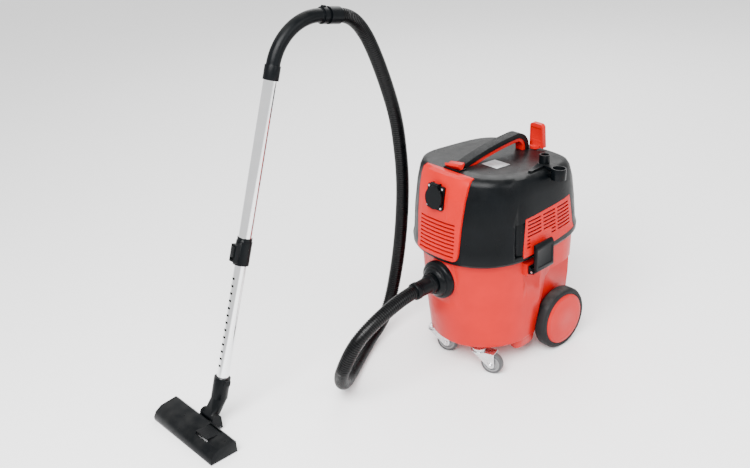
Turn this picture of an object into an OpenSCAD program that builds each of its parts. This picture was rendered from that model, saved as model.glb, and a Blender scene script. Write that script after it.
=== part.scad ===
// Wet and dry shop vacuum with a telescopic wand and a floor head.
// Millimetres, +Z up, the machine's front looks along -Y and the set stands on the plane z = 0.

/* [Container] */
// Half width of the round front drum at the rim
drum_half_w = 166; // [150:1:176]
// Reach of the round front at the rim
drum_front = 176; // [165:1:186]
// Half width of the round front drum at the base
drum_base_half_w = 156; // [140:1:160]
// Reach of the round front at the base
drum_base_front = 160; // [148:1:172]
// Half width of the squarer rear of the container at the rim
body_half_w = 178; // [168:1:184]
// Half width of the squarer rear of the container at the base
body_base_half_w = 155; // [146:1:170]
// Reach of the rear at the rim
body_rear = 224; // [205:1:228]
// Height of the container's base above the floor
base_z = 74; // [72:1:85]
// Height of the container's rim
rim_z = 346; // [320:1:380]
// Wall of the container
tank_wall = 3.5; // [2.5:0.5:5]

/* [Head] */
// Half width of the head at its lower edge
head_half_w = 185; // [184:1:196]
// Reach of the head's front at its lower edge
head_front = 184; // [184:1:196]
// Reach of the head's rear at its lower edge
head_rear = 233; // [232:1:250]
// Height of the head from its lower edge to the middle of its top
head_h = 227; // [210:1:280]
// Wall of the head's cover
head_wall = 3; // [2:0.5:4]
// Fall of the top towards the rear, in degrees
top_fall = 5.6; // [4:0.2:8]
// Width of the carrying handle
handle_w = 30; // [26:1:40]

/* [Wheels] */
// Radius of the rear wheels
wheel_r = 90; // [80:1:95]
// Width of the rear tyres
wheel_w = 38; // [32:1:44]
// Radius of the rear axle
axle_r = 8; // [6:0.5:10]
// Radius of the caster wheels
caster_r = 31; // [24:1:33]
// Distance from a caster's stem to its wheel's axle
caster_trail = 38; // [30:1:42]

/* [Inlet and hose] */
// Radius of the inlet bore
inlet_r = 25; // [20:1:28]
// Height of the inlet's axis
inlet_z = 281; // [250:1:290]
// Outer radius of the suction hose
hose_r = 19; // [16:1:22]

/* [Wand] */
// Lean of the wand from upright, in degrees
wand_lean = 19.5; // [10:0.5:22]
// Outer radius of the upper tube
upper_r = 17.5; // [16.5:0.5:20]
// Outer radius of the lower tube
lower_r = 16; // [13:0.5:16]
// Wall of the metal tubes
tube_wall = 0.9; // [0.7:0.1:1.2]
// Length of the lower tube that shows below the sleeve
lower_shown = 323; // [300:1:340]
// Length of the wand from the lower tube's end to the hand tube's bend
wand_len = 832; // [780:1:860]
// Radius of the hand tube's bend
bend_r = 140; // [120:1:150]

/* [Floor head] */
// Length of the floor head
floor_len = 278; // [250:1:320]
// Depth of the floor head
floor_depth = 80; // [72:1:90]

/* [Hidden] */
$fn = 64;

// Clearances
run = 0.08;      // radial clearance of a shaft that turns in a bore
seat = 0.3;      // gap between pieces that sit on each other
tiny = 0.03;
far = 600;       // longer than any cut

// The set is centred on its own footprint
set_at = [95, 331, 0];

black = [0.12, 0.13, 0.14];
red = [0.93, 0.27, 0.24];
grey = [0.35, 0.35, 0.37];
steel = [0.80, 0.80, 0.82];

// ---- Outlines and lofts -------------------------------------------------------------------

outline_n = 48;
plan_y = -17;    // the plan outlines are measured from this line

function signed_pow(v, p) = sign(v) * pow(abs(v), p);

// A rounded plan outline: half width, reach to the front and rear, and how square each half is
function plan(half_w, front, rear, square_front, square_rear, y0) = [
    for (i = [0 : outline_n - 1])
        let (t = 360 * i / outline_n,
             p = sin(t) < 0 ? square_front : square_rear,
             reach = sin(t) < 0 ? front : rear)
        [half_w * signed_pow(cos(t), 2 / p), y0 + reach * signed_pow(sin(t), 2 / p)]
];

// The outline at a height, tilted about its centre line
function ring(z, outline, fall, y0) = [
    for (p = outline) [p[0], p[1], z - tan(fall) * (p[1] - y0)]
];

// A closed solid through rings with the same number of points
module loft(rings) {
    n = len(rings[0]);
    last = len(rings) - 1;
    points = [for (r = rings) each r];
    bottom = [[for (i = [0 : n - 1]) i]];
    top = [[for (i = [n - 1 : -1 : 0]) last * n + i]];
    sides = [for (k = [0 : last - 1], i = [0 : n - 1])
        let (j = (i + 1) % n)
        [k * n + i, (k + 1) * n + i, (k + 1) * n + j, k * n + j]];
    polyhedron(points, concat(bottom, sides, top));
}

module placed() {
    translate(set_at) children();
}

module mirrored_pair() {
    children();
    mirror([1, 0, 0]) children();
}

module ring_solid(outer, inner, h) {
    difference() {
        cylinder(r = outer, h = h);
        translate([0, 0, -1]) cylinder(r = inner, h = h + 2);
    }
}

// ---- Container -----------------------------------------------------------------------------

drum_levels = [
    // height, share of the way from the base outline to the rim outline, inset
    [base_z, 0, 5],
    [base_z + 3, 0, 2],
    [base_z + 11, 0, 0],
    [200, 0.62, 0],
    [rim_z, 1, 0]
];
body_mid_y = 60;
drum_square_rear = 3;
body_square_rear = 3.6;
head_square_rear = 4.2;
head_square_front = 2.25;
panel_square = 2.5;      // the front panel is flatter than the head around it
panel_proud = 4;
panel_wall = 6;
body_nose_y = -105;
body_base_nose_y = -88;
body_base_rear = 15;     // how much shorter the rear is at the base

function between(a, b, share) = a + (b - a) * share;

function drum_ring(level, inset) =
    let (gone = level[2] + inset,
         half_w = between(drum_base_half_w, drum_half_w, level[1]) - gone,
         front = between(drum_base_front, drum_front, level[1]) - gone,
         rear = between(drum_base_front, body_rear - 8, level[1]) - gone)
    ring(level[0], plan(half_w, front, rear, 2.05, drum_square_rear, plan_y), 0, plan_y);

function body_ring(level, inset) =
    let (gone = level[2] + inset,
         half_w = between(body_base_half_w, body_half_w, level[1]) - gone,
         nose = body_mid_y - between(body_base_nose_y, body_nose_y, level[1]) - gone,
         tail = body_rear + plan_y - body_mid_y - between(body_base_rear, 0, level[1]) - gone)
    ring(level[0], plan(half_w, nose, tail, 3.2, body_square_rear, body_mid_y), 0, body_mid_y);

function raised(levels, bottom, top) = [
    for (l = levels)
        [l[0] + (l[0] < base_z + 12 ? bottom : l[0] == rim_z ? top : 0), l[1], l[2]]
];

module tank_block(inset, bottom, top) {
    levels = raised(drum_levels, bottom, top);
    loft([for (l = levels) drum_ring(l, inset)]);
    loft([for (l = levels) body_ring(l, inset)]);
}

// Rear axle and the bay that each rear wheel turns in
axle_y = 111;
axle_z = wheel_r;
wheel_out = 182;                     // outer face of the tyre
wheel_in = wheel_out - wheel_w;
bay_gap = 4;                         // between the tyre and the container
bay_x = wheel_in - bay_gap;
bay_front = axle_y - wheel_r - 6;
bay_top = 270;
channel_half = axle_r + 5;
channel_top = axle_z + axle_r + 6;
boss_len = 16;                       // length of the axle's seat in each side wall

module bays(grow) {
    outline = [
        [bay_front - grow, -1],
        [bay_front - grow, axle_z],
        [bay_front + 23 - grow, bay_top - 15],
        [bay_front + 43 - grow, bay_top + grow],
        [far, bay_top + grow],
        [far, -1]
    ];
    mirrored_pair()
        translate([bay_x - grow, 0, 0])
            rotate([90, 0, 90]) linear_extrude(height = far) polygon(outline);
}

module axle_channel(grow, half_len) {
    translate([-half_len, axle_y - channel_half - grow, base_z - 40])
        cube([2 * half_len, 2 * (channel_half + grow), channel_top + grow - base_z + 40]);
}

module along_axle(x0, x1, r) {
    translate([x0, axle_y, axle_z]) rotate([0, 90, 0]) cylinder(r = r, h = x1 - x0);
}

// Feet in front of the rear wheels
foot_z = 40;
foot_at = [124, -7];

module feet() {
    mirrored_pair() {
        translate([foot_at[0], foot_at[1], 0])
            loft([
                ring(foot_z, plan(15, 32, 36, 3, 3, 0), 0, 0),
                ring(foot_z + 4, plan(18, 35, 39, 3, 3, 0), 0, 0),
                ring(base_z + 4, plan(25, 44, 44, 3, 3, 0), 0, 0)
            ]);
    }
}

// Flat pads on the side walls that the latch brackets are fixed to
latch_y = -2;
latch_w = 70;
latch_z = 305;                       // height of the latch's pin
pad_x = body_half_w + 1;

module latch_pads() {
    mirrored_pair()
        translate([body_half_w - 20, latch_y - latch_w / 2 - 8, latch_z - 14])
            cube([pad_x - body_half_w + 20, latch_w + 16, 36]);
}

inlet_y = plan_y - drum_front;       // face that the inlet flange sits on
flange_r = 54;
inlet_h = 32;                        // how far the inlet stands out of its seat
spigot_r = inlet_r + 5;              // neck of the flange that passes the container's wall

module on_inlet(t) {
    translate([0, inlet_y - t, inlet_z]) rotate([90, 0, 0]) children();
}

module tank() {
    color(red)
    difference() {
        union() {
            tank_block(0, 0, 0);
            feet();
            latch_pads();
            on_inlet(-40) cylinder(r = flange_r - 3, h = 40 - tiny);
        }
        bays(0);
        axle_channel(0, bay_x - boss_len);
        difference() {
            tank_block(tank_wall, tank_wall, 1);
            bays(tank_wall);
            axle_channel(tank_wall, bay_x);
        }
        along_axle(-far, far, axle_r + run);
        on_inlet(-45) cylinder(r = spigot_r + seat, h = 50);
    }
}

seal_h = 6;

module rim_outline(inset) {
    polygon([for (p = drum_ring(drum_levels[4], inset)) [p[0], p[1]]]);
    polygon([for (p = body_ring(drum_levels[4], inset)) [p[0], p[1]]]);
}

module tank_seal() {
    color(black)
    translate([0, 0, rim_z])
        linear_extrude(height = seal_h - seat)
            difference() {
                rim_outline(1);
                rim_outline(8);
            }
}

module inlet_flange() {
    color(black)
    on_inlet(0)
        rotate_extrude($fn = 96)
            polygon([
                [inlet_r + run, -30],
                [spigot_r, -30],
                [spigot_r, 0],
                [flange_r, 0],
                [flange_r, 11],
                [flange_r - 2, 15],
                [flange_r - 9, 19],
                [flange_r - 12, 19],
                [flange_r - 14, 26],
                [inlet_r + 8, inlet_h],
                [inlet_r + run, inlet_h]
            ]);
}

cuff_len = 100;                      // from the flange's face to where the hose leaves the cuff
hose_bore = hose_r - 3.5;

module inlet_cuff() {
    color(black)
    on_inlet(0)
        rotate_extrude($fn = 96)
            polygon([
                [hose_bore, -22],
                [inlet_r, -22],
                [inlet_r, inlet_h + seat],
                [inlet_r + 3, inlet_h + seat],
                [inlet_r + 3, inlet_h + 12],
                [inlet_r - 2, inlet_h + 15],
                [inlet_r - 3, 84],
                [inlet_r - 1, 86],
                [inlet_r - 1, cuff_len - 2],
                [inlet_r - 3, cuff_len],
                [hose_bore, cuff_len]
            ]);
}

module rear_axle() {
    color(steel)
    along_axle(-wheel_out + 8, wheel_out - 8, axle_r);
}

// ---- Latches -------------------------------------------------------------------------------

latch_pin_r = 3;
knuckle_r = 7.5;
bracket_t = 3;
latch_pin_x = pad_x + bracket_t + knuckle_r + 1;
latch_face_x = latch_pin_x + 15;     // outer face of the closed latch
latch_back_x = latch_pin_x + 5;      // inner face, clear of the head's side
latch_top_z = 386;
ear_t = 3;
ear_y = latch_w / 2 + 0.5;

module side_prism(y0, y1, outline) {
    translate([0, y1, 0]) rotate([90, 0, 0]) linear_extrude(height = y1 - y0) polygon(outline);
}

module latch_pin_bore(r) {
    translate([latch_pin_x, latch_y - latch_w, latch_z])
        rotate([-90, 0, 0]) cylinder(r = r, h = 2 * latch_w);
}

module latch_brackets() {
    ear = [
        [pad_x, latch_z - 9],
        [latch_pin_x + 1, latch_z - 6],
        [latch_pin_x + 5, latch_z - 3],
        [latch_pin_x + 5, latch_z + 4],
        [pad_x, latch_z + 15]
    ];
    color(black)
    mirrored_pair()
        difference() {
            union() {
                translate([pad_x, latch_y - ear_y - ear_t, latch_z - 9])
                    cube([bracket_t, 2 * (ear_y + ear_t), 24]);
                side_prism(latch_y - ear_y - ear_t, latch_y - ear_y, ear);
                side_prism(latch_y + ear_y, latch_y + ear_y + ear_t, ear);
            }
            latch_pin_bore(latch_pin_r + run);
        }
}

module latch_pins() {
    color(steel)
    mirrored_pair()
        translate([latch_pin_x, latch_y - ear_y - ear_t, latch_z])
            rotate([-90, 0, 0]) cylinder(r = latch_pin_r, h = 2 * (ear_y + ear_t));
}

module latch() {
    plate = [
        [latch_pin_x, latch_z],
        [latch_pin_x + 13, latch_z + 1],
        [latch_face_x, latch_z + 6],
        [latch_face_x, latch_top_z - 8],
        [latch_face_x - 5, latch_top_z],
        [latch_back_x, latch_top_z],
        [latch_back_x, latch_z + 12],
        [latch_pin_x - 3, latch_z + 6]
    ];
    rim = 6;
    color(black)
    difference() {
        union() {
            side_prism(latch_y - latch_w / 2, latch_y + latch_w / 2, plate);
            translate([latch_pin_x, latch_y - latch_w / 2, latch_z])
                rotate([-90, 0, 0]) cylinder(r = knuckle_r, h = latch_w);
        }
        latch_pin_bore(latch_pin_r + run);
        translate([latch_face_x - 1.5, latch_y - latch_w / 2 + rim, latch_z + 14])
            cube([5, latch_w - 2 * rim, latch_top_z - latch_z - 30]);
    }
}

module latch_right() {
    latch();
}

module latch_left() {
    mirror([1, 0, 0]) latch();
}

// ---- Rear wheels ---------------------------------------------------------------------------

rim_r = wheel_r - 16;                // where the tyre sits on the hub

module on_right_wheel() {
    translate([0, axle_y, axle_z]) rotate([0, 90, 0]) children();
}

module tyre() {
    color(grey)
    on_right_wheel()
        rotate_extrude($fn = 120)
            polygon([
                [rim_r, wheel_in + 2],
                [wheel_r - 6, wheel_in],
                [wheel_r, wheel_in + 7],
                [wheel_r, wheel_out - 9],
                [wheel_r - 4, wheel_out - 2],
                [wheel_r - 9, wheel_out],
                [rim_r, wheel_out]
            ]);
}

module hub() {
    color(grey)
    on_right_wheel()
        rotate_extrude($fn = 96)
            polygon([
                [axle_r + run, wheel_in - bay_gap + seat],
                [20, wheel_in - bay_gap + seat],
                [20, wheel_in + 14],
                [rim_r - 8, wheel_in + 14],
                [rim_r - 8, wheel_in + 4],
                [rim_r - seat, wheel_in + 4],
                [rim_r - seat, wheel_out - 5],
                [rim_r - 6, wheel_out - 5],
                [rim_r - 6, wheel_in + 20],
                [20, wheel_in + 20],
                [20, wheel_out - 8],
                [axle_r + run, wheel_out - 8]
            ]);
}

module wheel_cap() {
    color(red)
    on_right_wheel()
        rotate_extrude($fn = 96)
            polygon([
                [0, wheel_out - 2],
                [rim_r - 12, wheel_out - 5 + seat],
                [rim_r - seat, wheel_out - 5 + seat],
                [rim_r - seat, wheel_out],
                [rim_r - 4, wheel_out + 2.5],
                [rim_r - 12, wheel_out + 2.5],
                [rim_r - 30, wheel_out + 4],
                [0, wheel_out + 6]
            ]);
}

module tyre_right() { tyre(); }
module hub_right() { hub(); }
module wheel_cap_right() { wheel_cap(); }
module tyre_left() { mirror([1, 0, 0]) tyre(); }
module hub_left() { mirror([1, 0, 0]) hub(); }
module wheel_cap_left() { mirror([1, 0, 0]) wheel_cap(); }

// ---- Casters -------------------------------------------------------------------------------

stem_at = [86, -138];
trail_turn = 20;                     // both casters trail this far from +X
king_r = 5;
crown_z = 2 * caster_r + 1.5;
crown_t = 2.5;
cheek_y = 13;
caster_axle_r = 4;
caster_rim_r = caster_r - 7;

module right_stem() {
    translate([stem_at[0], stem_at[1], 0]) rotate([0, 0, trail_turn]) children();
}

module left_stem() {
    translate([-stem_at[0], stem_at[1], 0]) rotate([0, 0, trail_turn]) children();
}

module caster_plate() {
    translate([0, 0, crown_z + crown_t + seat])
        cylinder(r = 19, h = base_z - tiny - crown_z - crown_t - seat);
    translate([0, 0, crown_z - 2.5]) cylinder(r = king_r, h = 6);
    translate([0, 0, crown_z - 5]) cylinder(r = king_r + 2.5, h = 5 - seat);
}

module caster_plates() {
    color(steel) {
        right_stem() caster_plate();
        left_stem() caster_plate();
    }
}

module across(y0, y1, r) {
    translate([caster_trail, y0, caster_r]) rotate([-90, 0, 0]) cylinder(r = r, h = y1 - y0);
}

module cheek(y0) {
    difference() {
        union() {
            translate([0, y0 + crown_t, 0])
                rotate([90, 0, 0]) linear_extrude(height = crown_t)
                    polygon([
                        [-16, crown_z + crown_t],
                        [caster_trail + 11, crown_z + crown_t],
                        [caster_trail + 11, caster_r],
                        [caster_trail - 6, caster_r - 9]
                    ]);
            across(y0, y0 + crown_t, 11);
        }
    }
}

module caster_fork() {
    color(steel) {
        difference() {
            union() {
                translate([0, 0, crown_z]) cylinder(r = 22, h = crown_t);
                translate([0, -cheek_y - crown_t, crown_z])
                    cube([caster_trail + 11, 2 * (cheek_y + crown_t), crown_t]);
                cheek(cheek_y);
                cheek(-cheek_y - crown_t);
            }
            translate([0, 0, crown_z - 5]) cylinder(r = king_r + run, h = 12);
        }
        across(-cheek_y - 5, cheek_y + 5, caster_axle_r);
        across(cheek_y + crown_t, cheek_y + 5.5, 6);
        across(-cheek_y - 5.5, -cheek_y - crown_t, 6);
    }
}

module on_caster_axle() {
    translate([caster_trail, 0, caster_r]) rotate([-90, 0, 0]) children();
}

module caster_wheel() {
    color([0.62, 0.62, 0.64])
    on_caster_axle()
        rotate_extrude()
            polygon([
                [caster_axle_r + run, -12.6],
                [9, -12.6],
                [10, -7],
                [caster_rim_r - 5, -6],
                [caster_rim_r - 4, -9],
                [caster_rim_r, -9],
                [caster_rim_r, 9],
                [caster_rim_r - 4, 9],
                [caster_rim_r - 5, 6],
                [10, 7],
                [9, 12.6],
                [caster_axle_r + run, 12.6]
            ]);
}

module caster_tyre() {
    color(grey)
    on_caster_axle()
        rotate_extrude()
            polygon([
                [caster_rim_r + seat, -9],
                [caster_r - 2, -10],
                [caster_r, -7],
                [caster_r, 7],
                [caster_r - 2, 10],
                [caster_rim_r + seat, 9]
            ]);
}

module caster_fork_right() { right_stem() caster_fork(); }
module caster_wheel_right() { right_stem() caster_wheel(); }
module caster_tyre_right() { right_stem() caster_tyre(); }
module caster_fork_left() { left_stem() caster_fork(); }
module caster_wheel_left() { left_stem() caster_wheel(); }
module caster_tyre_left() { left_stem() caster_tyre(); }

// ---- Head ----------------------------------------------------------------------------------

head_z = rim_z - 3;                  // the head's skirt reaches down past the rim
top_z = head_z + head_h;             // height of the flat top on the line y = plan_y

head_levels = [
    // height above the skirt's edge, change of half width, front and rear, share of the fall
    [0, 0, 0, 0, 0],
    [7, 4, 4, 4, 0],
    [23, 5, 5, 5, 0],
    [39, 1, 1, 2, 0],
    [head_h - 120, -2, -7, -1, 0.25],
    [head_h - 55, -8, -20, -4, 0.65],
    [head_h - 20, -14, -31, -10, 0.9],
    [head_h - 6, -20, -39, -17, 1],
    [head_h - 1, -31, -52, -28, 1],
    [head_h, -60, -84, -58, 1]
];

function head_ring(level, inset, drop, proud, square_front) =
    let (outline = plan(head_half_w + level[1] - inset, head_front + level[2] + proud - inset,
                        head_rear + level[3] - inset, square_front, head_square_rear, plan_y))
    ring(head_z + level[0] - drop, outline, top_fall * level[4], plan_y);

// The head's form, shrunk on all sides by an inset and dropped by as much at the top
module head_solid(inset, proud = 0, square_front = head_square_front) {
    loft([for (l = head_levels)
        let (drop = l[0] == 0 && inset > 0 ? 1 : l[0] > head_h - 25 ? inset : 0)
        head_ring(l, inset, drop, proud, square_front)]);
}

// The same form with the flatter and slightly proud front of the panel
module panel_solid(inset) {
    head_solid(inset, panel_proud, panel_square);
}

// The middle of the front panel at a level
function front_at(level) =
    let (reach = head_front + panel_proud + level[2])
    [plan_y - reach, head_z + level[0] + tan(top_fall * level[4]) * reach];

front_low = front_at(head_levels[4]);
front_high = front_at(head_levels[5]);
front_lean = atan((front_high[0] - front_low[0]) / (front_high[1] - front_low[1]));

function front_y(z) =
    front_low[0] + (z - front_low[1]) * (front_high[0] - front_low[0]) / (front_high[1] - front_low[1]);

module on_top() {
    translate([0, plan_y, top_z]) rotate([-top_fall, 0, 0]) children();
}

window_gap = 0.4;
panel_top_y = -139;

module front_window(gap) {
    half_low = 72;
    half_top = 86;
    bottom = head_z + 14;
    corner = 12;
    translate([0, panel_top_y + gap, 0])
        rotate([90, 0, 0]) linear_extrude(height = far)
            polygon([
                [-half_low + corner, bottom - gap],
                [half_low - corner, bottom - gap],
                [half_low - 3 + gap, bottom + 4],
                [half_low + 1 + gap, bottom + corner],
                [half_top + gap, top_z + 40],
                [-half_top - gap, top_z + 40],
                [-half_low - 1 - gap, bottom + corner],
                [-half_low + 3 - gap, bottom + 4]
            ]);
}

vent_low = head_z + 11;
vent_top = head_z + 118;
vent_pitch = 10.3;

module vent_windows(gap) {
    mirrored_pair()
        translate([120, 0, 0]) rotate([90, 0, 90]) linear_extrude(height = far)
            polygon([
                [-66 - gap, vent_low - gap],
                [150 + gap, vent_low + 14 - gap],
                [137 + gap, vent_top + 5 + gap],
                [-50 - gap, vent_top + gap]
            ]);
}

switch_y = 106;                      // distance in front of the plan line, along the top
switch_half = [27, 14.5];
hook_x = 23;
hook_y = 190;                        // distance behind the plan line
hook_pin_r = 6;
gland_z = 430;
gland_r = 9;
gland_y = plan_y + head_rear + 2.5;

module switch_hole(gap, z0, z1) {
    on_top()
        translate([-switch_half[0] - gap, -switch_y - switch_half[1] - gap, z0])
            cube([2 * (switch_half[0] + gap), 2 * (switch_half[1] + gap), z1 - z0]);
}

module on_hook() {
    on_top() translate([hook_x, hook_y, 0]) rotate([top_fall, 0, 0]) children();
}

scoop_r = 16;
scoop_foot = [189, -80, 360];        // lower end of the groove's axis beside the vents
scoop_head = [180, -69, 452];

// The groove in front of each vent panel, and with a wall's thickness more its lining
module side_scoop(more) {
    mirrored_pair()
        hull() {
            translate(scoop_foot) cylinder(r = scoop_r + more, h = 1);
            translate(scoop_head) cylinder(r = scoop_r + more, h = 1 + more);
        }
}

module head_cover() {
    color(black)
    difference() {
        union() {
            difference() {
                head_solid(0);
                head_solid(head_wall);
            }
            intersection() {
                head_solid(0);
                side_scoop(head_wall);
            }
        }
        side_scoop(0);
        front_window(window_gap);
        vent_windows(window_gap);
        switch_hole(seat, -30, 30);
        on_hook() translate([0, 0, -20]) cylinder(r = hook_pin_r + run, h = 40);
        translate([0, gland_y + 20, gland_z]) rotate([90, 0, 0]) cylinder(r = gland_r + seat, h = 40);
    }
}

base_t = 5;
plate_z = rim_z + seal_h;            // underside of the head's base plate
intake_r = 32;

module head_base() {
    color(black)
    translate([0, 0, plate_z])
        difference() {
            linear_extrude(height = base_t)
                polygon(plan(head_half_w + 4 - head_wall - seat, head_front + 4 - head_wall - seat,
                             head_rear + 4 - head_wall - seat, head_square_front, head_square_rear, plan_y));
            translate([0, 0, -1]) cylinder(r = intake_r, h = base_t + 2);
        }
}

slat_pitch = 11;
slat_h = 4.8;
slat_half_w = 62;
socket_x = -8;
socket_z = 520;
socket_hole_r = 26;

// Undoes at_socket()
module off_socket() {
    rotate([front_lean - 90, 0, 0]) translate([-socket_x, -front_y(socket_z), -socket_z]) children();
}

module at_socket() {
    translate([socket_x, front_y(socket_z), socket_z]) rotate([90 - front_lean, 0, 0]) children();
}

module front_panel() {
    color(red)
    difference() {
        intersection() {
            difference() {
                panel_solid(0);
                panel_solid(panel_wall);
            }
            front_window(0);
        }
        for (i = [0 : 8])
            translate([-slat_half_w, -far / 2, head_z + 24 + i * slat_pitch])
                cube([2 * slat_half_w, far / 2 + panel_top_y, slat_h]);
        at_socket() translate([0, 0, -20]) cylinder(r = socket_hole_r, h = 40);
    }
}

module vent_slot(y0, y1, row) {
    translate([120, y0, vent_top - 12 - row * vent_pitch]) cube([120, y1 - y0, slat_h]);
}

module vent_panels() {
    color(red)
    difference() {
        intersection() {
            difference() {
                head_solid(0);
                head_solid(head_wall);
            }
            vent_windows(0);
        }
        mirrored_pair() {
            for (row = [0 : 4]) {
                vent_slot(-43 - row, 8, row);
                vent_slot(16, 66, row);
            }
            for (row = [5 : 7])
                vent_slot(-43 - row, -37, row);
            for (row = [5 : 6])
                vent_slot(48, 66, row);
            for (row = [0 : 6])
                vent_slot(74, 126 + row, row);
        }
    }
}

// ---- Handle --------------------------------------------------------------------------------

handle_top = [107, 611];             // y and z of the highest point
handle_front_r = 993;
handle_rear_r = 48;
handle_front_turn = 12.1;
grip_t = 14;
liner_t = 10;

function arc(centre, r, from, to, n) = [
    for (i = [0 : n]) let (a = from + (to - from) * i / n)
        [centre[0] + r * cos(a), centre[1] + r * sin(a)]
];

// A band of the handle between two depths below its top line, seen from the side
function handle_band(d0, d1) =
    let (c_front = [handle_top[0], handle_top[1] - handle_front_r],
         c_rear = [handle_top[0], handle_top[1] - handle_rear_r])
    concat(
        arc(c_front, handle_front_r - d0, 90 + handle_front_turn, 90, 14),
        arc(c_rear, handle_rear_r - d0, 84, 0, 10),
        [[handle_top[0] + handle_rear_r - d0, handle_top[1] - 120],
         [handle_top[0] + handle_rear_r - d1, handle_top[1] - 120]],
        arc(c_rear, handle_rear_r - d1, 0, 84, 10),
        arc(c_front, handle_front_r - d1, 90, 90 + handle_front_turn, 14)
    );

module handle_part(d0, d1, w) {
    difference() {
        translate([-w / 2, 0, 0])
            rotate([90, 0, 90]) linear_extrude(height = w) polygon(handle_band(d0, d1));
        on_top() translate([-100, -300, -200]) cube([200, 700, 200 + seat]);
    }
}

module handle_grip() {
    color(black)
    handle_part(0, grip_t, handle_w);
}

module handle_liner() {
    color(red)
    handle_part(grip_t + 0.1, grip_t + liner_t, handle_w - 4);
}

// ---- Fittings on the head ------------------------------------------------------------------

holder_post = [135, 93];             // on the top, measured from the plan line
holder_post_r = 14.5;
holder_post_bore = 11;
holder_post_h = 30;
holder_ring = [head_half_w + 6, 85];
holder_ring_r = 20;
holder_ring_bore = 16.5;
holder_t = 7;

module accessory_holder() {
    color(black)
    on_top()
        difference() {
            union() {
                translate([holder_post[0], holder_post[1], seat]) {
                    cylinder(r = holder_post_r, h = holder_post_h);
                    cylinder(r = holder_post_r + 4, h = holder_t);
                }
                hull() {
                    translate([holder_post[0], holder_post[1], seat]) cylinder(r = 15, h = holder_t);
                    translate([holder_ring[0], holder_ring[1], seat]) cylinder(r = 15, h = holder_t);
                }
                hull() {
                    translate([holder_post[0], holder_post[1], seat]) cylinder(r = 12, h = holder_t);
                    translate([holder_post[0] + 12, 24, seat]) cylinder(r = 6, h = 4);
                }
                translate([holder_ring[0], holder_ring[1], -22]) cylinder(r = holder_ring_r, h = 30);
            }
            translate([holder_post[0], holder_post[1], 3]) cylinder(r = holder_post_bore, h = 60);
            translate([holder_ring[0], holder_ring[1], -60]) cylinder(r = holder_ring_bore, h = 120);
        }
}

module label_plate() {
    color([0.8, 0.8, 0.82])
    on_top() translate([19, -24, 0.05]) cube([54, 52, 0.8]);
}

lid_r = 30;
lid_t = 5;
flange_t = 5;
flange_half = [30, 33];
lid_hinge = [35.5, flange_t + 4];    // up the flange, and out from the panel
lid_pin_r = 1.5;

module lid_hinge_bar(x0, x1, r) {
    translate([x0, lid_hinge[0], lid_hinge[1]]) rotate([0, 90, 0]) cylinder(r = r, h = x1 - x0);
}

// What fills the space between the flat flange and the curved panel behind it
module flange_back() {
    difference() {
        translate([-flange_half[0] + 2, -flange_half[1] + 2, -6])
            cube([2 * flange_half[0] - 4, 2 * flange_half[1] - 4, 6 + tiny]);
        off_socket() panel_solid(-tiny);
    }
}

module socket_body() {
    color(black)
    at_socket() {
        difference() {
            union() {
                linear_extrude(height = flange_t)
                    offset(r = 8) square([2 * flange_half[0] - 16, 2 * flange_half[1] - 16], center = true);
                translate([0, 0, -26]) cylinder(r = socket_hole_r - seat, h = 26 + tiny);
                flange_back();
                for (x = [-14, 11])
                    translate([x, flange_half[1] - 6, 0]) cube([3, 6 + 5, lid_hinge[1]]);
                for (x = [-14, 11])
                    lid_hinge_bar(x, x + 3, 3);
            }
            translate([0, 0, -18]) cylinder(r = 20, h = 40);
            for (x = [-1, 1], y = [-1, 1])
                translate([x * 24, y * 26, -2]) cylinder(r = 1.6, h = 20);
        }
        lid_hinge_bar(-12, 12, lid_pin_r);
    }
}

module socket_screws() {
    color(steel)
    at_socket()
        for (x = [-1, 1], y = [-1, 1])
            translate([x * 24, y * 26, 0]) {
                cylinder(r = 1.5, h = flange_t + seat);
                translate([0, 0, flange_t + tiny]) cylinder(r = 3, h = 1.8);
            }
}

module socket_lid() {
    color(black)
    at_socket() {
        difference() {
            union() {
                translate([0, -2, flange_t + seat + 2]) cylinder(r = lid_r, h = lid_t);
                translate([-10.5, 18, flange_t + seat + 2]) cube([21, lid_hinge[0] - 18, 4]);
                lid_hinge_bar(-10.5, 10.5, 3);
            }
            for (x = [-1, 1], y = [-1, 1])
                translate([x * 24, y * 26, 0]) cylinder(r = 4.5, h = 20);
            lid_hinge_bar(-30, 30, lid_pin_r + run);
        }
    }
}

rocker_pin_r = 2;
rocker_turn = 8;                     // the rocker rests this far to one side

module rocker_pin(half_len, r) {
    translate([-half_len, -switch_y, 2]) rotate([0, 90, 0]) cylinder(r = r, h = 2 * half_len);
}

module switch_body() {
    color(black)
    difference() {
        switch_hole(0, -24, 4);
        on_top() {
            translate([-switch_half[0] + 2, -switch_y - switch_half[1] + 1.5, -10])
                cube([2 * switch_half[0] - 4, 2 * switch_half[1] - 3, 40]);
            rocker_pin(switch_half[0] - 0.5, rocker_pin_r + run);
        }
    }
}

module rocker() {
    half = switch_half[0] - 2.6;
    color(red)
    on_top()
        union() {
            rocker_pin(half + 1.5, rocker_pin_r);
            translate([-half, -switch_y, 2]) rotate([90 - rocker_turn, 0, 90])
                linear_extrude(height = 2 * half)
                    polygon([[-12, 5], [-11, 11], [0, 7], [11, 11], [12, 5], [4, -5], [-4, -5]]);
        }
}

hook_w = 48;
hook_lift = 3;                       // above the head, clear of its fall

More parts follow.
